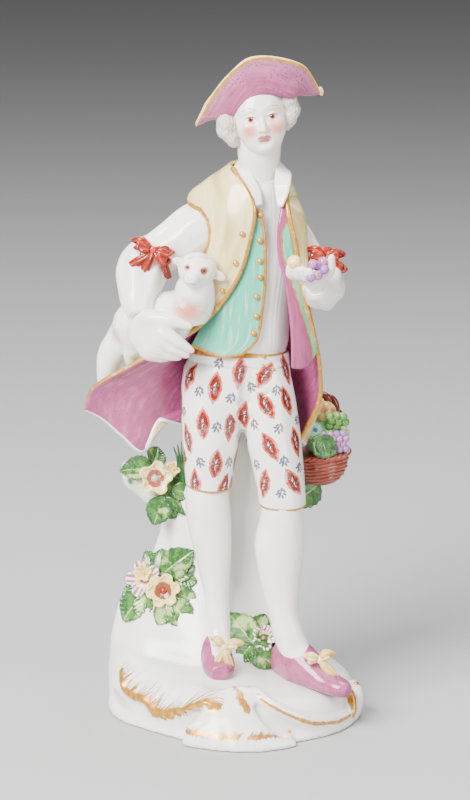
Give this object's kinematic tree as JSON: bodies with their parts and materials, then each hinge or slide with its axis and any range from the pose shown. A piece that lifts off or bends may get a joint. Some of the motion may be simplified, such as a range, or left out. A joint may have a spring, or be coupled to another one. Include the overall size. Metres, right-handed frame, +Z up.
{
  "type": "porcelain figure",
  "caption": "Standing porcelain figure in a three-cornered hat and open coat, holding a lamb and fruit, against a flowered tree stump on a scrolled base.",
  "frame": {"origin": "middle of the flat underside of the base", "axes": "+Z up along the figure, +X to the viewer's right, +Y away from the viewer, so the figure faces -Y"},
  "size_m": [0.1178, 0.1074, 0.2809],
  "materials": {
    "white_glaze": "clear glossy glaze over white porcelain, fired",
    "enamel_cream": "glossy ivory overglaze wash on the outside of the coat",
    "enamel_puce": "brushed puce overglaze enamel on the hat, coat lining and shoes, glossy",
    "enamel_turquoise": "streaked turquoise overglaze enamel on the waistcoat, glossy",
    "enamel_red": "iron-red overglaze enamel on the ribbon bows, glossy",
    "enamel_green": "veined green overglaze enamel on the leaves, glossy",
    "enamel_yellow": "pale yellow overglaze enamel on the flowers, fruit and shoe bows, glossy",
    "enamel_purple": "purple overglaze enamel on the grapes and striped petals, glossy",
    "enamel_brown": "reddish-brown overglaze enamel on the basket, glossy",
    "painted_breeches": "white glaze with a scattered red and purple floral pattern in overglaze enamel",
    "painted_flesh": "white glaze with flesh tints and brown and red details in overglaze enamel",
    "gilding": "burnished gilding, thinly brushed"
  },
  "bodies": {
    "root": {"figure": "white_glaze"}
  },
  "joints": []
}
